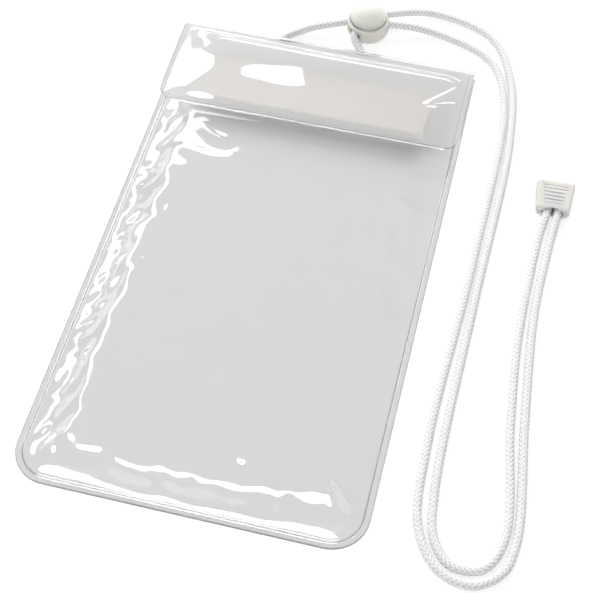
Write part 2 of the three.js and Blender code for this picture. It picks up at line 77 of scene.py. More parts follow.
def grid_faces(rows, columns, closed_across=False):
    """Quads of a grid of points, stored row by row."""
    r = np.arange(rows - 1)[:, None]
    c = np.arange(columns if closed_across else columns - 1)[None, :]
    d = (c + 1) % columns
    a = r * columns + c
    b = r * columns + d
    return np.stack([a, b, b + columns, a + columns], -1).reshape(-1, 4)


def mesh_of(name, points, faces):
    """A smooth mesh from points in millimetres and a list of faces."""
    mesh = bpy.data.meshes.new(name)
    mesh.from_pydata((np.asarray(points) * MM).tolist(), [], faces)
    mesh.update()
    mesh.shade_smooth()
    return mesh


def set_values(mesh, name, values):
    """Gives each point of the mesh a value, which its material reads by the name."""
    attribute = mesh.attributes.new(name, "FLOAT", "POINT")
    attribute.data.foreach_set("value", values.ravel().astype(np.float32))


def smooth_step(t):
    """Rises smoothly from 0 to 1 as t does, and is level outside."""
    t = np.clip(t, 0, 1)
    return t * t * (3 - 2 * t)


# Lanyard cord. Its route is that of the solid cord in the frame, in metres

CORD_ROUTE = [
    (0.1089, 0.0603, 0.0029),
    (0.1092, 0.0513, 0.0029),
    (0.1079, 0.0380, 0.00185),
    (0.1072, -0.0130, 0.00185),
    (0.1102, -0.0530, 0.00185),
    (0.1155, -0.1010, 0.00185),
    (0.1095, -0.1136, 0.00185),
    (0.0985, -0.1146, 0.00185),
    (0.0910, -0.1063, 0.00185),
    (0.0878, -0.0880, 0.00185),
    (0.0877, 0.0000, 0.00185),
    (0.0883, 0.0860, 0.00185),
    (0.0824, 0.1254, 0.00185),
    (0.0692, 0.1490, 0.00185),
    (0.0413, 0.1576, 0.00185),
    (0.0202, 0.1481, 0.0052),
    (0.0112, 0.1436, 0.0052),
    (0.0025, 0.1385, 0.0052),
    (-0.0126, 0.1339, 0.0022),
    (-0.0242, 0.1231, 0.00185),
    (-0.0265, 0.1119, 0.00185),
    (-0.0140, 0.1072, 0.00265),
    (0.0125, 0.1073, 0.00265),
    (0.0206, 0.1148, 0.00185),
    (0.0134, 0.1243, 0.0030),
    (0.0089, 0.1317, 0.0052),
    (0.0141, 0.1371, 0.0052),
    (0.0241, 0.1422, 0.0052),
    (0.0438, 0.1453, 0.00185),
    (0.0713, 0.1341, 0.00185),
    (0.0820, 0.1095, 0.00185),
    (0.0838, 0.0200, 0.00185),
    (0.0815, -0.0680, 0.00185),
    (0.0845, -0.1030, 0.00185),
    (0.0940, -0.1172, 0.00185),
    (0.1065, -0.1205, 0.00185),
    (0.1165, -0.1138, 0.00185),
    (0.1199, -0.1000, 0.00185),
    (0.1153, -0.0498, 0.00185),
    (0.1117, 0.0000, 0.00185),
    (0.1129, 0.0380, 0.00185),
    (0.11375, 0.0513, 0.0029),
    (0.1136, 0.0604, 0.0029),
]
SPAN_POINTS = 40

# The braid, in millimetres: a stitch's length, how deep the surface goes between stitches,
# and the mesh's step along the cord
CORD_RADIUS = 1.85
BRAID_PITCH, BRAID_DEPTH, STITCH_STEPS = 1.925, 0.34, 5
BRAID_STEP = BRAID_PITCH / STITCH_STEPS
BRAID_YARNS, BRAID_SIDES = 8, 32
STITCH_FULLNESS, BORDER_HEIGHT = 0.7, 0.6


def between(low, high, s, first, last):
    """The point at s, on the way from first at low to last at high."""
    return (high - s) / (high - low) * first + (s - low) / (high - low) * last


def centripetal(points):
    """A centripetal Catmull-Rom curve through the points, like the solid cord's path."""
    p = np.array(points, float)
    p = np.vstack([2 * p[0] - p[1], p, 2 * p[-1] - p[-2]])
    curve = []
    for i in range(1, len(p) - 2):
        q = p[i - 1 : i + 3]
        t = np.concatenate([[0], np.cumsum(np.sqrt(np.linalg.norm(np.diff(q, axis=0), axis=1)))])
        s = np.linspace(t[1], t[2], SPAN_POINTS, endpoint=False)[:, None]
        a = [between(t[k], t[k + 1], s, q[k], q[k + 1]) for k in range(3)]
        b = [between(t[k], t[k + 2], s, a[k], a[k + 1]) for k in range(2)]
        curve.append(between(t[1], t[2], s, b[0], b[1]))
    return np.vstack([*curve, p[-2]])


def resampled(line, step):
    """The line's points at an even distance, and how far along each one is."""
    along = np.concatenate([[0], np.cumsum(np.linalg.norm(np.diff(line, axis=0), axis=1))])
    at = np.linspace(0, along[-1], int(round(along[-1] / step)) + 1)
    return np.stack([np.interp(at, along, line[:, k]) for k in range(3)], 1), at


def across(line):
    """Two directions across the line at each of its points, which turn with it and don't twist."""
    tangent = np.gradient(line, axis=0)
    tangent /= np.linalg.norm(tangent, axis=1)[:, None]
    side = np.cross(tangent[0], [0, 0, 1.0])
    sides = []
    for t in tangent:
        side = side - t * (side @ t)
        side = side / np.linalg.norm(side)
        sides.append(side)
    sides = np.array(sides)
    return sides, np.cross(tangent, sides)


def braid_height(along, turn):
    """Height of a braided surface, 0 to 1: columns of slanted stitches, left and right by turns."""
    v = turn * BRAID_YARNS / (2 * math.pi)
    folded = np.abs((v + 1) % 2 - 1)
    stitch = 0.5 - 0.5 * np.cos(2 * math.pi * (along / BRAID_PITCH + folded))
    border = np.sin(math.pi * (v % 1))
    return stitch**STITCH_FULLNESS * (BORDER_HEIGHT + (1 - BORDER_HEIGHT) * border)


def braided_cord():
    """The cord's mesh and its middle line, in metres."""
    line, along = resampled(centripetal(np.array(CORD_ROUTE) / MM), BRAID_STEP)
    side, up = across(line)
    turn = np.linspace(0, 2 * math.pi, BRAID_SIDES, endpoint=False)
    height = braid_height(along[:, None], turn[None, :])
    radius = CORD_RADIUS - BRAID_DEPTH * (1 - height)
    ring = side[:, None, :] * np.cos(turn)[None, :, None] + up[:, None, :] * np.sin(turn)[None, :, None]
    points = (line[:, None, :] + ring * radius[:, :, None]).reshape(-1, 3)
    faces = grid_faces(len(line), BRAID_SIDES, closed_across=True).tolist()
    last = (len(line) - 1) * BRAID_SIDES
    faces.append(list(range(BRAID_SIDES))[::-1])
    faces.append([last + k for k in range(BRAID_SIDES)])
    mesh = mesh_of("braided_cord", points, faces)
    set_values(mesh, "lift", height)
    return mesh, line * MM


cord_mesh, cord_line = braided_cord()
cord = add_object("cord_braid", cord_mesh, None)
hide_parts("lanyard_cord")
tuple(CORD_ROUTE[0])


# Pouch films, in millimetres. The sizes are those of the solid films in the frame

POUCH_WIDTH, POUCH_LENGTH, FILM = 135.0, 237.0, 0.4
WELD_WIDTH, WELD_GAP, CORNER_RADIUS = 3.6, 0.05, 14.5
POCKET_HEIGHT, POCKET_SLOPE, POCKET_END = 9.0, 15.9, 34.0
VALLEY_HEIGHT, VALLEY_Y, VALLEY_BEND = 6.6, 65.0, 0.25
FLAP_LENGTH, FLAP_RADIUS, FLAP_EDGE_HEIGHT, FOLD_RADIUS = 49.0, 9.5, 8.2, 2.6
TAPE_INSET, TAPE_SETBACK, TAPE_ZIP_GAP, TAPE_THICKNESS = 16.5, 7.2, 2.9, 1.9
ZIP_INSET, ZIP_SETBACK, ZIP_WIDTH, ZIP_STACK, MOUTH_LIP = 9.5, 11.9, 8.0, 2.4, 5.8
LIFT_HEIGHT, LIFT_RUN, LIFT_SETBACK = 4.8, 28.0, 20.5

# The front film lies flat this far past the tapes' long edges, and past the ends of the tapes and the zip
SEAT_MARGIN, TAPE_CLEARANCE, ZIP_CLEARANCE = 0.6, 2, 1

HALF_WIDTH = POUCH_WIDTH / 2
BOTTOM_Y, FOLD_Y = -POUCH_LENGTH / 2, POUCH_LENGTH / 2
FLAP_END_Y = FOLD_Y - FLAP_LENGTH
LIFT_START_Y = FOLD_Y - LIFT_SETBACK - LIFT_RUN
ROOT_Y = FOLD_Y - FOLD_RADIUS
FLAP_ROOT_HEIGHT = LIFT_HEIGHT + 2 * FOLD_RADIUS - FILM
ZIP_START_Y = FOLD_Y - ZIP_SETBACK - ZIP_WIDTH / 2
MOUTH_Y = ZIP_START_Y + ZIP_WIDTH + MOUTH_LIP
TAPE_START_Y = FLAP_END_Y + TAPE_SETBACK
TAPE_END_Y = ZIP_START_Y - TAPE_ZIP_GAP

# The front film's rise: the shares of it that bend, at a side and what the bottom edge adds
SIDE_LOW_BEND, SIDE_HIGH_BEND = 0.34, 0.1
BOTTOM_LOW_BEND, BOTTOM_HIGH_BEND = 0.1, 0.3

# The rise is this much shorter at the bottom edge, and shorter still within a part of it that is steep
BOTTOM_CUT, STEEP_CUT, LEAST_RISE_RUN = 1.5, 6.5, 6.5
STEEP_X, STEEP_HALF_WIDTH, STEEP_FADE = 4, 42, 20

# At the corners the side's rise turns into the bottom's over this distance
SIDE_TO_BOTTOM = 24

# Steps between a film's grid lines: fine up to a distance from a welded edge, and coarse further in
FINE_STEP, FINE_REACH = 0.3, 4.8
COARSE_STEP, FLAP_STEP = 1.2, 0.55
ARC_POINTS = 25
SHARP_ANGLE = 50


def back_underside(y):
    """Underside of the back film, which rises towards the fold."""
    return LIFT_HEIGHT * smooth_step((y - LIFT_START_Y) / LIFT_RUN)


def flap_underside(y):
    """Underside of the flap, before its unevenness."""
    share = (y - FLAP_END_Y) / (ROOT_Y - FLAP_END_Y)
    return FLAP_EDGE_HEIGHT + (FLAP_ROOT_HEIGHT - FLAP_EDGE_HEIGHT) * share


def tape_seat(y):
    """Height of the seat of both tapes: below the flap, its lining, the tapes and four small gaps."""
    return flap_underside(y) - FILM - TAPE_THICKNESS - 4 * WELD_GAP


def even_slope(t, low_bend, high_bend):
    """Rises evenly from 0 to 1, with the given shares of its run rounded at its ends."""
    t = np.clip(t, 0, 1)
    steep = 1 / (1 - low_bend / 2 - high_bend / 2)
    start = steep * t**2 / (2 * low_bend)
    middle = steep * (t - low_bend / 2)
    end = 1 - steep * (1 - t) ** 2 / (2 * high_bend)
    return np.where(t < low_bend, start, np.where(t > 1 - high_bend, end, middle))


def front_middle(y):
    """Underside of the front film along its middle: pocket, valley, tapes, zip."""
    low, high = TAPE_START_Y - SEAT_MARGIN, TAPE_END_Y + SEAT_MARGIN
    pocket, valley = FILM + POCKET_HEIGHT, FILM + VALLEY_HEIGHT
    at_low, at_high = tape_seat(low) - FILM, tape_seat(high) - FILM
    at_zip = LIFT_HEIGHT + FILM + ZIP_STACK
    to_valley = even_slope((y - POCKET_END) / (VALLEY_Y - POCKET_END), VALLEY_BEND, VALLEY_BEND)
    to_tapes = smooth_step((y - VALLEY_Y) / (low - VALLEY_Y))
    to_zip = smooth_step((y - high) / (ZIP_START_Y - high))
    z = pocket + (valley - pocket) * to_valley
    z = np.where(y > VALLEY_Y, valley + (at_low - valley) * to_tapes, z)
    z = np.where(y > low, at_low + (at_high - at_low) * (y - low) / (high - low), z)
    return np.where(y > high, at_high + (at_zip - at_high) * to_zip, z)


def side_slope(y):
    """The distance over which the front film rises from its side welds."""
    at_tape = TAPE_INSET - TAPE_CLEARANCE - WELD_WIDTH
    at_zip = ZIP_INSET - ZIP_CLEARANCE - WELD_WIDTH
    to_tape = smooth_step((y - VALLEY_Y) / (TAPE_START_Y - SEAT_MARGIN - VALLEY_Y))
    to_zip = smooth_step((y - TAPE_END_Y - SEAT_MARGIN) / (ZIP_START_Y - TAPE_END_Y - SEAT_MARGIN))
    return POCKET_SLOPE + (at_tape - POCKET_SLOPE) * to_tape + (at_zip - at_tape) * to_zip


def inset(x, y):
    """Distance inside the pouch's outline."""
    corner_x, corner_y = HALF_WIDTH - CORNER_RADIUS, BOTTOM_Y + CORNER_RADIUS
    in_corner = (np.abs(x) > corner_x) & (y < corner_y)
    round_part = CORNER_RADIUS - np.hypot(np.abs(x) - corner_x, y - corner_y)
    return np.where(in_corner, round_part, np.minimum(HALF_WIDTH - np.abs(x), y - BOTTOM_Y))


def front_underside(x, y, wander, lead):
    """Underside of the front film.

    wander is added to the distance over which it rises, and lead moves the start of the rise in.
    """
    low = back_underside(y) + FILM + WELD_GAP
    at_bottom = smooth_step(((HALF_WIDTH - np.abs(x)) - (y - BOTTOM_Y)) / SIDE_TO_BOTTOM + 0.5)
    steep = at_bottom * smooth_step((STEEP_HALF_WIDTH - np.abs(x - STEEP_X)) / STEEP_FADE)
    run = side_slope(y) + wander - BOTTOM_CUT * at_bottom - STEEP_CUT * steep
    run = np.maximum(run, LEAST_RISE_RUN)
    low_bend = SIDE_LOW_BEND + BOTTOM_LOW_BEND * at_bottom
    high_bend = SIDE_HIGH_BEND + BOTTOM_HIGH_BEND * at_bottom
    share = even_slope((inset(x, y) - WELD_WIDTH - lead) / (run - lead), low_bend, high_bend)
    return low + (front_middle(y) - low) * share


def rounded(x, v, end, radius, way):
    """Moves grid points so that lines near a film's rounded corner follow it.

    end is the film's edge, and way is 1 where v grows from it into the film and -1 where v falls.
    """
    a = np.abs(x) - (HALF_WIDTH - radius)
    b = way * (end - v) + radius
    inside = (a > 0) & (b > 0)
    r = np.maximum(a, b)
    with np.errstate(divide="ignore", invalid="ignore"):
        angle = np.where(a >= b, b / a, 2 - a / b) * math.pi / 4
    new_x = np.sign(x) * (HALF_WIDTH - radius + r * np.cos(angle))
    new_v = end - way * (r * np.sin(angle) - radius)
    return np.where(inside, new_x, x), np.where(inside, new_v, v)


def edge_spaced(low, high, fine_high=False, coarse=COARSE_STEP):
    """Places from low to high, close together near low, and near high too where asked."""
    start = low + np.arange(0, FINE_REACH, FINE_STEP)
    stop = high - np.arange(0, FINE_REACH, FINE_STEP)[::-1] if fine_high else np.array([high])
    a, b = start[-1], stop[0]
    middle = np.linspace(a, b, int(math.ceil((b - a) / coarse)) + 1)[1:-1]
    return np.concatenate([start, middle, stop])


def closed_sheet(name, lower, upper, shade_lines):
    """A closed film from two grids of points. Its last argument says where the film gets painted shade
    along its edge and weld lines, from 0 to 1.
    """
    rows, columns = shade_lines.shape
    count = rows * columns
    faces = grid_faces(rows, columns)
    rim = []
    for r in range(rows - 1):
        a, b = r * columns, (r + 1) * columns
        rim.append([a, a + count, b + count, b])
        rim.append([a + columns - 1, b + columns - 1, b + columns - 1 + count, a + columns - 1 + count])
    for c in range(columns - 1):
        rim.append([c, c + 1, c + 1 + count, c + count])
        last = (rows - 1) * columns + c
        rim.append([last, last + count, last + 1 + count, last + 1])
    points = np.vstack([lower.reshape(-1, 3), upper.reshape(-1, 3)])
    mesh = mesh_of(name, points, np.vstack([faces[:, ::-1], faces + count, np.array(rim)]).tolist())
    mesh.set_sharp_from_angle(angle=math.radians(SHARP_ANGLE))
    set_values(mesh, "painted_rim_shade", np.tile(shade_lines.ravel(), 2))
    return mesh


# Wrinkles and creases of the films, in millimetres

# Waves: the height, the seed and the length of each kind
WAVE_COUNT, WAVE_LENGTHS = 14, (0.7, 1.6)
POCKET_WAVES = [(0.12, 3, 60)]
SLOPE_WAVES = [(0.3, 17, 21), (0.1, 29, 9)]
WANDER_WAVES = [(1.8, 21, 38), (0.8, 33, 13)]
LEAD_WAVES = [(1.3, 41, 9)]
FLAP_WAVES = [(0.07, 8, 34)]
BROAD_WAVES = [(0.25, 12, 26)]

# The front film is loose up to just past the valley, and comes loose over these distances from its welds
LOOSE_END_Y, LOOSE_FADE = VALLEY_Y + 6, 14
WRINKLE_RUN, WANDER_RUN = 4, 6
SLOPE_ZONE, SLOPE_ZONE_FADE = 26, 8

# Left of one line and above another, its rise starts further in: by so much on average, and at most
LEAD_MIDDLE, LEAD_MOST = 1.5, 4
LEAD_X, LEAD_Y, LEAD_FADE = -40, -112, 16

# Small pleats along the left weld, drawn at random between these limits
PLEATS, PLEAT_SEED, PLEAT_X, PLEAT_FADE = 24, 5, -65, 3
PLEAT_Y, PLEAT_RISE, PLEAT_REACH = (-106, 56), (-12, 12), (6, 15)
PLEAT_BEND, PLEAT_BEND_RISE = 0.45, (0, 0.5)
PLEAT_WIDTH, PLEAT_HEIGHT = (1.0, 2.4), (0.25, 0.8)

# Creases: the path, the width and the height of each
CREASE_FADE, FLAP_CREASE_FADE = 6.0, 4
FRONT_CREASES = [
    ([(-47, 62), (-36, 54), (-26, 50)], 3.6, 0.9),
    ([(-60, 48), (-48, 44), (-33, 41), (-20, 44)], 3.0, 0.7),
    ([(-56, 30), (-46, 33), (-38, 32)], 2.6, 0.5),
    ([(56, -104), (48, -98), (44, -88)], 3.0, 0.7),
    ([(60, 58), (52, 52), (49, 40)], 2.6, 0.5),
]
LONG_FLAP_CREASE = [
    (-57, 111.4), (-50, 111.1), (0, 110.6), (56, 110.2), (61.5, 108.6), (61.5, 105.0),
    (54, 97.2), (49.8, 92.8), (54.5, 93.4), (64.6, 96.3),
]
SHORT_FLAP_CREASE = [(-57, 113), (-53, 108), (-48, 102)]
FLAP_CREASES = [(LONG_FLAP_CREASE, 1.3, 0.7), (SHORT_FLAP_CREASE, 2.4, 0.8)]

# The flap's rim stays flat. Inside it the film is lifted a little, swells at a point and rises broadly
FLAT_RIM, RIM_FADE = 2.4, 5
FLAP_ROOT_SETBACK, FLAP_ROOT_FADE = 3, 4
FLAP_LIFT = 0.168
SWELL_CENTRE, SWELL_REACH, SWELL_HEIGHT = (-50, 82), (11, 15), 1.3
BROAD_HEIGHT, BROAD_RIM_FADE, BROAD_ROOT_SETBACK, BROAD_ROOT_FADE = 2.9, 17, 11, 25
BROAD_LEFT_X, BROAD_LEFT_FADE, BROAD_RIGHT_X, BROAD_RIGHT_FADE = -56, 54, 50, 42

# Lines along the rims: the distance inside, the width, and the strength of the painted shade that darkens
# the cut edge and weld groove, or the groove's depth
EDGE_SHADE_LINE, WELD_SHADE_LINE, WELD_GROOVE = (0, 0.6, 0.8), (2.6, 0.5, 1.0), (2.6, 0.8, 0.25)
FLAP_OUTER_SHADE_LINE, FLAP_INNER_SHADE_LINE, FLAP_GROOVE = (1.3, 0.7, 0.25), (2.6, 0.6, 0.2), (1.1, 0.7, 0.22)


def line_at(distance, place, width, strength):
    """A soft line where the distance is equal to the place."""
    return strength * np.exp(-(((distance - place) / (width / 2)) ** 2))


def ridge(x, y, path, width, height, fade):
    """A rounded fold of film along a path of points, lower towards its ends."""
    path = np.array(path, float)
    seg = np.linalg.norm(np.diff(path, axis=0), axis=1)
    total, done = seg.sum(), 0.0
    best, where = np.full(x.shape, 1e9), np.zeros(x.shape)
    for (x0, y0), (x1, y1), length in zip(path[:-1], path[1:], seg):
        t = np.clip(((x - x0) * (x1 - x0) + (y - y0) * (y1 - y0)) / length**2, 0, 1)
        d = np.hypot(x - x0 - t * (x1 - x0), y - y0 - t * (y1 - y0))
        nearer = d < best
        best, where = np.where(nearer, d, best), np.where(nearer, done + t * length, where)
        done += length
    end = smooth_step(np.minimum(where, total - where) / fade)
    return height * end * np.exp(-((best / width) ** 2))


def swell(x, y, centre, reach, height):
    """A broad rise of film around a point."""
    return height * np.exp(-(((x - centre[0]) / reach[0]) ** 2) - ((y - centre[1]) / reach[1]) ** 2)


def waves(x, y, kinds):
    """Smooth unevenness from a few long waves of each kind, mostly within its height either way."""
    total = np.zeros(x.shape)
    for height, seed, scale in kinds:
        rng = np.random.default_rng(seed)
        part = np.zeros(x.shape)
        for _ in range(WAVE_COUNT):
            angle, phase = rng.uniform(0, math.pi), rng.uniform(0, 2 * math.pi)
            k = 2 * math.pi / (scale * rng.uniform(*WAVE_LENGTHS))
            part += np.sin(k * (x * math.cos(angle) + y * math.sin(angle)) + phase)
        total += height * (part / math.sqrt(WAVE_COUNT))
    return total


def loose(x, y, run):
    """Where the front film is loose: 1 over the pocket, and 0 at its welds and under the flap."""
    return smooth_step((inset(x, y) - WELD_WIDTH) / run) * smooth_step((LOOSE_END_Y - y) / LOOSE_FADE)


def left_pleats():
    """The path, the width and the height of each pleat along the left weld."""
    rng = np.random.default_rng(PLEAT_SEED)
    for _ in range(PLEATS):
        y, rise, reach = rng.uniform(*PLEAT_Y), rng.uniform(*PLEAT_RISE), rng.uniform(*PLEAT_REACH)
        bend = (PLEAT_X + reach * PLEAT_BEND, y + rise * rng.uniform(*PLEAT_BEND_RISE))
        path = [(PLEAT_X, y), bend, (PLEAT_X + reach, y + rise)]
        yield path, rng.uniform(*PLEAT_WIDTH), rng.uniform(*PLEAT_HEIGHT)


def front_wrinkles(x, y):
    """Unevenness of the front film over the pocket."""
    on_slope = smooth_step((SLOPE_ZONE - inset(x, y)) / SLOPE_ZONE_FADE)
    z = waves(x, y, POCKET_WAVES) + waves(x, y, SLOPE_WAVES) * on_slope
    for path, width, height in left_pleats():
        z = z + ridge(x, y, path, width, height, PLEAT_FADE)
    for path, width, height in FRONT_CREASES:
        z = z + ridge(x, y, path, width, height, CREASE_FADE)
    return z * loose(x, y, WRINKLE_RUN)


def flap_shape(x, y):
    """Unevenness of the flap, measured up from its flat underside."""
    d = np.minimum(HALF_WIDTH - np.abs(x), y - FLAP_END_Y)
    at_root = smooth_step((FOLD_Y - FLAP_ROOT_SETBACK - y) / FLAP_ROOT_FADE)
    free = smooth_step((d - FLAT_RIM) / RIM_FADE) * at_root
    z = np.zeros(x.shape)
    for path, width, height in FLAP_CREASES:
        z = z + ridge(x, y, path, width, height, FLAP_CREASE_FADE)
    z = z + (waves(x, y, FLAP_WAVES) + FLAP_LIFT)
    z = z + swell(x, y, SWELL_CENTRE, SWELL_REACH, SWELL_HEIGHT)
    from_rim = smooth_step((d - FLAT_RIM) / BROAD_RIM_FADE)
    from_root = smooth_step((FOLD_Y - BROAD_ROOT_SETBACK - y) / BROAD_ROOT_FADE)
    from_left = smooth_step((x - BROAD_LEFT_X) / BROAD_LEFT_FADE)
    from_right = smooth_step((BROAD_RIGHT_X - x) / BROAD_RIGHT_FADE)
    broad = (BROAD_HEIGHT + waves(x, y, BROAD_WAVES)) * (from_rim * from_root) * (from_left * from_right)
    return z * free + broad


# The two films

def front_film():
    """The pouch's front, from the bottom weld to the lip of the mouth."""
    xs = edge_spaced(-HALF_WIDTH, HALF_WIDTH, fine_high=True)
    x, y = np.meshgrid(xs, edge_spaced(BOTTOM_Y, MOUTH_Y))
    x, y = rounded(x, y, BOTTOM_Y, CORNER_RADIUS, 1)
    d = inset(x, y)
    wander = waves(x, y, WANDER_WAVES) * loose(x, y, WANDER_RUN)
    to_left, to_top = smooth_step((LEAD_X - x) / LEAD_FADE), smooth_step((y - LEAD_Y) / LEAD_FADE)
    lead = np.clip(LEAD_MIDDLE + waves(x, y, LEAD_WAVES), 0, LEAD_MOST) * to_left * to_top
    under = front_underside(x, y, wander, lead) + front_wrinkles(x, y)
    top = under + FILM - line_at(d, *WELD_GROOVE)
    # Painted shade along the film's cut edge and in its weld groove
    painted_rim_shade = np.maximum(line_at(d, *EDGE_SHADE_LINE), line_at(d, *WELD_SHADE_LINE))
    return closed_sheet("front_film", np.stack([x, y, under], -1), np.stack([x, y, top], -1), painted_rim_shade)


def back_profile():
    """The back film's middle, seen from the side, and how many of its points lie before the flap."""
    bend = FOLD_RADIUS - FILM / 2
    ys = edge_spaced(BOTTOM_Y, ROOT_Y)
    arc = np.radians(np.linspace(-90, 90, ARC_POINTS))[1:]
    flap = edge_spaced(FLAP_END_Y, ROOT_Y, coarse=FLAP_STEP)[::-1][1:]
    profile = [(y, back_underside(y) + FILM / 2) for y in ys]
    profile += [(ROOT_Y + bend * math.cos(a), LIFT_HEIGHT + FOLD_RADIUS + bend * math.sin(a)) for a in arc]
    profile += [(y, flap_underside(y) + FILM / 2) for y in flap]
    return np.array(profile), len(ys) + len(arc)


def back_film():
    """The pouch's back, its fold and its flap: one film."""
    profile, before_flap = back_profile()
    v = np.concatenate([[0], np.cumsum(np.linalg.norm(np.diff(profile, axis=0), axis=1))])
    x, w = np.meshgrid(edge_spaced(-HALF_WIDTH, HALF_WIDTH, fine_high=True), v)
    x, w = rounded(x, w, 0.0, CORNER_RADIUS, 1)
    x, w = rounded(x, w, v[-1], FLAP_RADIUS, -1)
    y, z = np.interp(w, v, profile[:, 0]), np.interp(w, v, profile[:, 1])
    slope = np.gradient(profile, axis=0)
    slope /= np.linalg.norm(slope, axis=1)[:, None]
    dy, dz = np.interp(w, v, slope[:, 0]), np.interp(w, v, slope[:, 1])
    on_flap = w > v[before_flap - 1]
    z = z + np.where(on_flap, flap_shape(x, y), 0)
    rim = np.minimum(HALF_WIDTH - np.abs(x), v[-1] - w)
    lower = np.stack([x, y + dz * FILM / 2, z - dy * FILM / 2], -1)
    upper = np.stack([x, y - dz * FILM / 2, z + dy * FILM / 2], -1)
    upper[..., 2] -= dy * np.where(on_flap, line_at(rim, *FLAP_GROOVE), 0)
    # Painted shade along the flap's cut edge and its weld line
    painted_rim_shade = np.maximum(line_at(rim, *FLAP_OUTER_SHADE_LINE), line_at(rim, *FLAP_INNER_SHADE_LINE))
    return closed_sheet("back_film", lower, upper, np.where(on_flap, painted_rim_shade, 0))


# Helpers for materials

def new_material(name):
    """An empty material, its tree and the tree's output."""
    material = bpy.data.materials.new(name)
    material.use_nodes = True
    tree = material.node_tree
    tree.nodes.clear()
    return material, tree, node(tree, "ShaderNodeOutputMaterial")


def node(tree, kind, **values):
    """A new node, with values for its inputs or its settings."""
    made = tree.nodes.new(kind)
    for key, value in values.items():
        if key in made.inputs.keys():
            made.inputs[key].default_value = value
        else:
            setattr(made, key, value)
    return made


def node_of(tree, kind):
    """The one node of a kind that the tree holds."""
    return next(n for n in tree.nodes if n.type == kind)


def set_inputs(made, **values):
    """Sets inputs by their names, with a low line in the place of each space."""
    for key, value in values.items():
        made.inputs[key.replace("_", " ")].default_value = value


def mixed(tree, share, first, second):
    """A mix of two shaders. share is how much of the second shows: a number or a node's output."""
    mix = node(tree, "ShaderNodeMixShader")
    if isinstance(share, float):
        mix.inputs[0].default_value = share
    else:
        tree.links.new(share, mix.inputs[0])
    tree.links.new(first.outputs[0], mix.inputs[1])
    tree.links.new(second.outputs[0], mix.inputs[2])
    return mix


def add_grain(tree, surface, scale, detail, strength, distance):
    """Fine unevenness that a surface shows, without a change to its mesh."""
    coords = node(tree, "ShaderNodeTexCoord")
    noise = node(tree, "ShaderNodeTexNoise", Scale=scale, Detail=detail)
    bump = node(tree, "ShaderNodeBump", Strength=strength, Distance=distance)
    tree.links.new(coords.outputs["Object"], noise.inputs["Vector"])
    tree.links.new(noise.outputs["Fac"], bump.inputs["Height"])
    tree.links.new(bump.outputs["Normal"], surface.inputs["Normal"])


def color_by(tree, surface, value, places, colors):
    """Colours a surface by a value of its mesh, from the first place and colour to the second."""
    source = node(tree, "ShaderNodeAttribute", attribute_name=value)
    ramp = node(tree, "ShaderNodeValToRGB")
    for element, place, color in zip(ramp.color_ramp.elements, places, colors):
        element.position = place
        element.color = (*color, 1)
    tree.links.new(source.outputs["Fac"], ramp.inputs["Fac"])
    tree.links.new(ramp.outputs["Color"], surface.inputs["Base Color"])


# Materials

# Clear film's tint, and the grey of the painted shade on its edge and weld lines
CLEAR, RIM_SHADE_GREY = (0.925, 0.924, 0.923), (0.36, 0.365, 0.38)
FROST, CLOUD = (0.67, 0.665, 0.66), (0.85, 0.85, 0.85)
# Yarn colour, and the grey of painted shade down between the stitches, with where each sits on the braid's
# height
YARN_SHADE, YARN_HIGH = (0.62, 0.61, 0.62), (0.91, 0.908, 0.902)
YARN_SHADE_PLACE, YARN_HIGH_PLACE = 0.2, 0.75
TAPE_WHITE, CLIP_GREY, STEEL = (0.74, 0.70, 0.65), (0.62, 0.605, 0.585), (0.6, 0.61, 0.62)
# One ivory plastic in two copies: the body's is painted lighter and warmer to brighten its shaded sides,
# and the button's darker to hold down its brightly lit top
BUTTON_IVORY_DIMMED, BODY_IVORY_LIGHTENED = (0.675, 0.675, 0.64), (0.84, 0.81, 0.69)

CLEAR_ROUGHNESS, CLEAR_IOR = 0.03, 1.5
SPECKLE_SCALE, SPECKLE_DETAIL, SPECKLE_STRENGTH, SPECKLE_DISTANCE = 160.0, 3.0, 0.006, 0.002
FROST_ROUGHNESS, FROST_SPECULAR, FROST_CLEAR = 0.7, 0.2, 0.8
CLOUD_ROUGHNESS, CLOUD_SHARE = 0.25, 0.3
GRAIN_DETAIL, GRAIN_DISTANCE = 4.0, 0.0004
PLASTIC_SPECULAR, PLASTIC_DEPTH, PLASTIC_REACH = 0.3, 0.004, (1.0, 0.95, 0.75)


def clear_film(name):
    """Clear film. Light for what is behind it goes straight through; the camera sees it bend and mirror."""
    material, tree, out = new_material(name)
    film = node(tree, "ShaderNodeBsdfPrincipled")
    set_inputs(film, Roughness=CLEAR_ROUGHNESS, IOR=CLEAR_IOR, Transmission_Weight=1.0)
    # Painted shade: the film is greyer along its cut edges and weld grooves
    color_by(tree, film, "painted_rim_shade", (0, 1), (CLEAR, RIM_SHADE_GREY))
    add_grain(tree, film, SPECKLE_SCALE, SPECKLE_DETAIL, SPECKLE_STRENGTH, SPECKLE_DISTANCE)
    path = node(tree, "ShaderNodeLightPath")
    straight = node(tree, "ShaderNodeBsdfTransparent", Color=(*CLEAR, 1))
    for_light = mixed(tree, path.outputs["Is Diffuse Ray"], film, straight)
    for_lamps = mixed(tree, path.outputs["Is Shadow Ray"], for_light, straight)
    tree.links.new(for_lamps.outputs[0], out.inputs["Surface"])
    return material


def frosted_film(name):
    """Film with a fine haze: most of the light passes, softly, and the rest is scattered."""
    material, tree, out = new_material(name)
    film = node(tree, "ShaderNodeBsdfPrincipled")
    set_inputs(film, Base_Color=(*FROST, 1), Roughness=FROST_ROUGHNESS)
    set_inputs(film, Specular_IOR_Level=FROST_SPECULAR, Transmission_Weight=FROST_CLEAR)
    tree.links.new(film.outputs[0], out.inputs["Surface"])
    return material


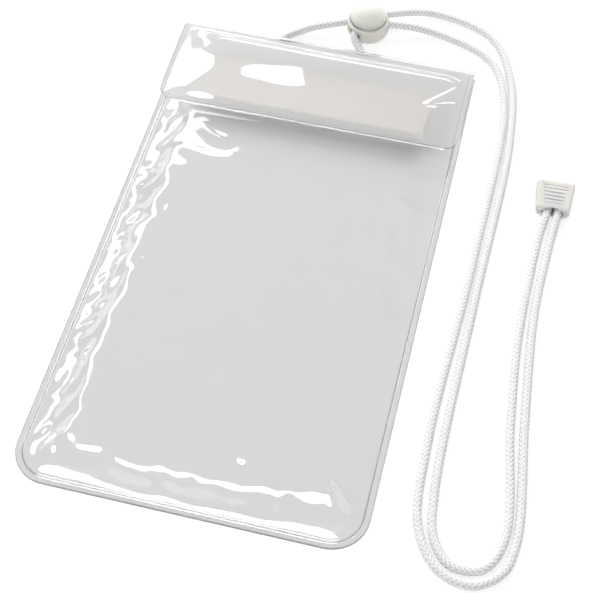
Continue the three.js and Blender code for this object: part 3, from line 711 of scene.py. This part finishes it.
def milky_film(name):
    """Film that is a little cloudy: most of the view goes straight through it."""
    material, tree, out = new_material(name)
    cloudy = node(tree, "ShaderNodeBsdfPrincipled")
    set_inputs(cloudy, Base_Color=(*CLOUD, 1), Roughness=CLOUD_ROUGHNESS)
    straight = node(tree, "ShaderNodeBsdfTransparent")
    mix = mixed(tree, CLOUD_SHARE, straight, cloudy)
    tree.links.new(mix.outputs[0], out.inputs["Surface"])
    return material


def plain_material(name, color, roughness, scale, strength, metallic=0.0, subsurface=0.0):
    """An opaque material with a fine grain."""
    material, tree, out = new_material(name)
    body = node(tree, "ShaderNodeBsdfPrincipled")
    set_inputs(body, Base_Color=(*color, 1), Roughness=roughness, Metallic=metallic)
    if subsurface:
        set_inputs(body, Specular_IOR_Level=PLASTIC_SPECULAR, Subsurface_Weight=subsurface)
        set_inputs(body, Subsurface_Scale=PLASTIC_DEPTH, Subsurface_Radius=PLASTIC_REACH)
    add_grain(tree, body, scale, GRAIN_DETAIL, strength, GRAIN_DISTANCE)
    tree.links.new(body.outputs[0], out.inputs["Surface"])
    return material


def moulded_plastic(name, color, subsurface):
    """Satin plastic that light enters a little way."""
    return plain_material(name, color, roughness=0.5, scale=900, strength=0.05, subsurface=subsurface)


def braid_material(name):
    """White yarn, with painted shade making it greyer down between its stitches, and fibres as a fine
    grain.
    """
    material = plain_material(name, YARN_HIGH, roughness=0.8, scale=2600, strength=0.35)
    tree = material.node_tree
    body = node_of(tree, "BSDF_PRINCIPLED")
    # Painted shade: greyer where the braid's surface is low
    color_by(tree, body, "lift", (YARN_SHADE_PLACE, YARN_HIGH_PLACE), (YARN_SHADE, YARN_HIGH))
    return material


pvc = clear_film("clear_pvc")
tape_fabric = plain_material("tape_fabric", TAPE_WHITE, roughness=0.85, scale=1400, strength=0.5)
frosted = frosted_film("frosted_pvc")
zip_film = milky_film("zip_film")
braid = braid_material("braid_yarn")
# Painted light and shade: the lock's button and body share one plastic, darkened on the button and
# lightened on the body
ivory_dimmed = moulded_plastic("ivory_plastic_dimmed", BUTTON_IVORY_DIMMED, 1.0)
ivory_body_lightened = moulded_plastic("ivory_body_lightened", BODY_IVORY_LIGHTENED, 1.0)
clip_plastic = moulded_plastic("clip_plastic", CLIP_GREY, 0.9)
spring_steel = plain_material("spring_steel", STEEL, roughness=0.3, scale=500, strength=0.05, metallic=1.0)

cord.data.materials.append(braid)
front = add_object("front_film", front_film(), pvc)
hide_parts("front_panel")
back = add_object("back_film", back_film(), pvc)
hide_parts("back_panel")

# The other pieces keep the frame's solids
SOLID_LOOKS = {
    "flap_lining": frosted,
    "loop_tape": tape_fabric,
    "hook_tape": tape_fabric,
    "zip_track_back": zip_film,
    "zip_track_front": zip_film,
    "cord_loop": zip_film,
    "lock_body": ivory_body_lightened,
    "lock_button": ivory_dimmed,
    "lock_spring": spring_steel,
    "clip_back_shell": clip_plastic,
    "clip_front_shell": clip_plastic,
}
for name, material in SOLID_LOOKS.items():
    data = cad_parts[name].data
    data.materials.clear()
    data.materials.append(material)

# Small clear pieces between the films, which take no light from what is under them
for name in ("flap_lining", "zip_track_back", "zip_track_front", "cord_loop"):
    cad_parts[name].visible_shadow = False
    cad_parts[name].visible_diffuse = False


# Table, light and surroundings, in metres

WHITE = (1, 1, 1, 1)
ROOM_LIGHT, ROOM_MIRRORED = 0.32, 0.3
PAPER, PAPER_GLOW, PAPER_GLOW_SHARE = (0.92, 0.92, 0.92), 1.05, 0.7
TABLE_HALF, TABLE_HEIGHT = 6.0, -0.0003

# Lamps: name, place, the point it faces, width, height, brightness, and whether it lights and is mirrored.
# The wide mirrored one is above, and the low mirrored strip is behind, where creases catch it
LAMPS = [
    ("soft_left", (-1.36, 1.32, 1.15), (0, 0, 0), 2.5, 1.25, 4.2, True, True),
    ("mirrored_top", (-0.16, -0.58, 1.15), (-0.16, -0.5799, 0), 1.0, 1.5, 8.0, False, True),
    ("mirrored_strip", (-0.19, 2.1, 0.66), (0, 0, 0), 1.5, 0.36, 6.0, False, True),
    ("soft_above", (-0.16, -0.5, 1.15), (-0.16, -0.4999, 0), 1.0, 1.3, 3.9, True, False),
    ("soft_behind", (0.2, 1.36, 0.86), (0, 0, 0), 0.6, 0.5, 17.0, True, False),
    ("soft_front", (0.35, -1.3, 0.75), (0, 0, 0), 0.9, 0.6, 3.4, True, False),
]


def set_world():
    """White surroundings, a little darker where they are mirrored."""
    world = bpy.data.worlds.new("studio")
    bpy.context.scene.world = world
    world.use_nodes = True
    tree = world.node_tree
    tree.nodes.clear()
    out = node(tree, "ShaderNodeOutputWorld")
    room = node(tree, "ShaderNodeBackground", Color=WHITE, Strength=ROOM_LIGHT)
    seen = node(tree, "ShaderNodeBackground", Color=WHITE, Strength=ROOM_MIRRORED)
    path = node(tree, "ShaderNodeLightPath")
    mix = mixed(tree, path.outputs["Is Glossy Ray"], room, seen)
    tree.links.new(mix.outputs[0], out.inputs["Surface"])


def soft_box(name, place, target, width, height, radiance, lights, is_mirrored):
    """An oval lamp whose face has the given brightness."""
    lamp = bpy.data.lights.new(name, "AREA")
    lamp.shape = "ELLIPSE"
    lamp.size, lamp.size_y = width, height
    lamp.energy = radiance * math.pi * width * height * math.pi / 4
    obj = bpy.data.objects.new(name, lamp)
    bpy.context.scene.collection.objects.link(obj)
    obj.location = place
    obj.rotation_euler = (Vector(target) - Vector(place)).to_track_quat("-Z", "Y").to_euler()
    obj.visible_diffuse = lights
    obj.visible_glossy = is_mirrored
    obj.visible_transmission = is_mirrored


def table():
    """White paper, which the camera sees partly as an even glow."""
    mesh = bpy.data.meshes.new("table")
    signs = [(-1, -1), (1, -1), (1, 1), (-1, 1)]
    corners = [(a * TABLE_HALF, b * TABLE_HALF, TABLE_HEIGHT) for a, b in signs]
    mesh.from_pydata(corners, [], [(0, 1, 2, 3)])
    paper = plain_material("white_paper", PAPER, roughness=0.9, scale=20, strength=0.0)
    tree = paper.node_tree
    out, body = node_of(tree, "OUTPUT_MATERIAL"), node_of(tree, "BSDF_PRINCIPLED")
    path = node(tree, "ShaderNodeLightPath")
    share = node(tree, "ShaderNodeMath", operation="MULTIPLY")
    share.inputs[1].default_value = PAPER_GLOW_SHARE
    white = node(tree, "ShaderNodeEmission", Strength=PAPER_GLOW)
    tree.links.new(path.outputs["Is Camera Ray"], share.inputs[0])
    mix = mixed(tree, share.outputs[0], body, white)
    tree.links.new(mix.outputs[0], out.inputs["Surface"])
    obj = add_object("table", mesh, paper, body=None)


set_world()
table()
for lamp_values in LAMPS:
    soft_box(*lamp_values)
